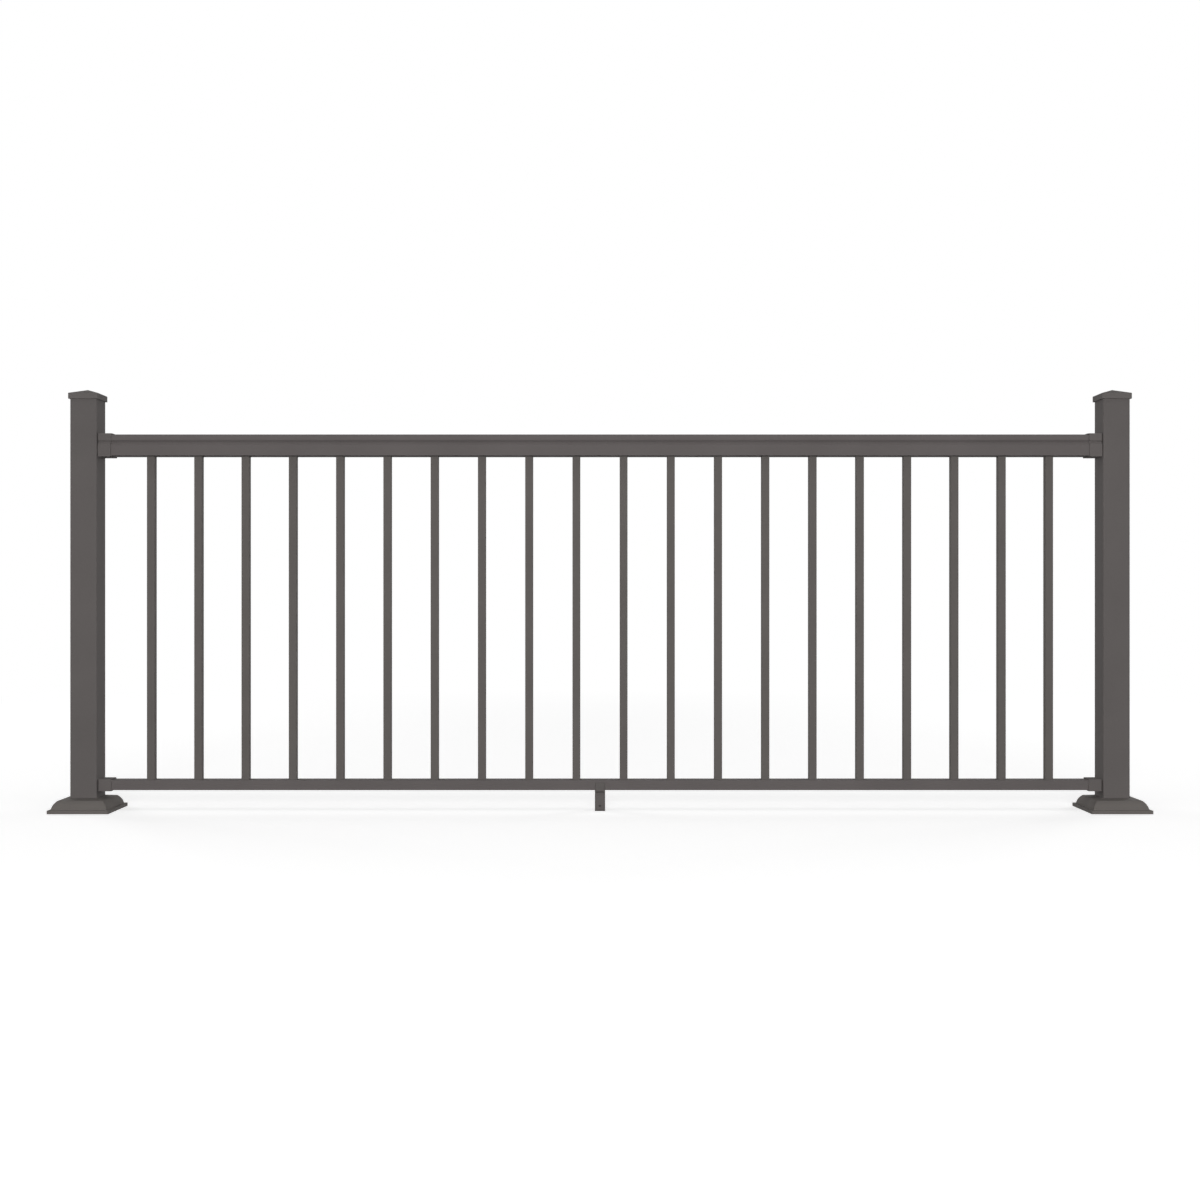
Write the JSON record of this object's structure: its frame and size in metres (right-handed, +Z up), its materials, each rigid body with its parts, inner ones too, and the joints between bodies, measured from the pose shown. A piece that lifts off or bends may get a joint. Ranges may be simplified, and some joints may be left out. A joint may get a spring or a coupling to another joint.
{
  "type": "deck railing section",
  "caption": "Powder-coated aluminium deck railing section: square posts with pyramid caps and base trims, waisted top rail, bottom rail, square balusters, cup brackets and a support foot.",
  "frame": {"origin": "centre of the left post's foot, on the deck", "axes": "+X along the rails to the right post, -Y towards the front face that shows the baluster strips' side, +Z up"},
  "size_m": [2.66, 0.148, 1.03],
  "materials": {
    "post_coat": "satin dark bronze powder coat",
    "cap_coat": "satin dark bronze powder coat",
    "trim_coat": "satin dark bronze powder coat",
    "rail_coat": "satin dark bronze powder coat",
    "baluster_coat": "satin dark bronze powder coat",
    "bracket_coat": "satin dark bronze powder coat",
    "strip_plastic": "moulded, dark bronze grey",
    "foot_plastic": "moulded, dark bronze grey"
  },
  "bodies": {
    "root": {"left_post": "post_coat", "left_post_cap": "cap_coat", "left_base_trim": "trim_coat", "right_post": "post_coat", "right_post_cap": "cap_coat", "right_base_trim": "trim_coat", "top_rail": "rail_coat", "sub_rail": "rail_coat", "bottom_rail": "rail_coat", "baluster_01": "baluster_coat", "baluster_02": "baluster_coat", "baluster_03": "baluster_coat", "baluster_04": "baluster_coat", "baluster_05": "baluster_coat", "baluster_06": "baluster_coat", "baluster_07": "baluster_coat", "baluster_08": "baluster_coat", "baluster_09": "baluster_coat", "baluster_10": "baluster_coat", "baluster_11": "baluster_coat", "baluster_12": "baluster_coat", "baluster_13": "baluster_coat", "baluster_14": "baluster_coat", "baluster_15": "baluster_coat", "baluster_16": "baluster_coat", "baluster_17": "baluster_coat", "baluster_18": "baluster_coat", "baluster_19": "baluster_coat", "baluster_20": "baluster_coat", "upper_strip_1": "strip_plastic", "lower_strip_1": "strip_plastic", "upper_strip_2": "strip_plastic", "lower_strip_2": "strip_plastic", "upper_strip_3": "strip_plastic", "lower_strip_3": "strip_plastic", "upper_strip_4": "strip_plastic", "lower_strip_4": "strip_plastic", "left_top_bracket": "bracket_coat", "left_bottom_bracket": "bracket_coat", "right_top_bracket": "bracket_coat", "right_bottom_bracket": "bracket_coat", "support_foot": "foot_plastic"}
  },
  "joints": []
}
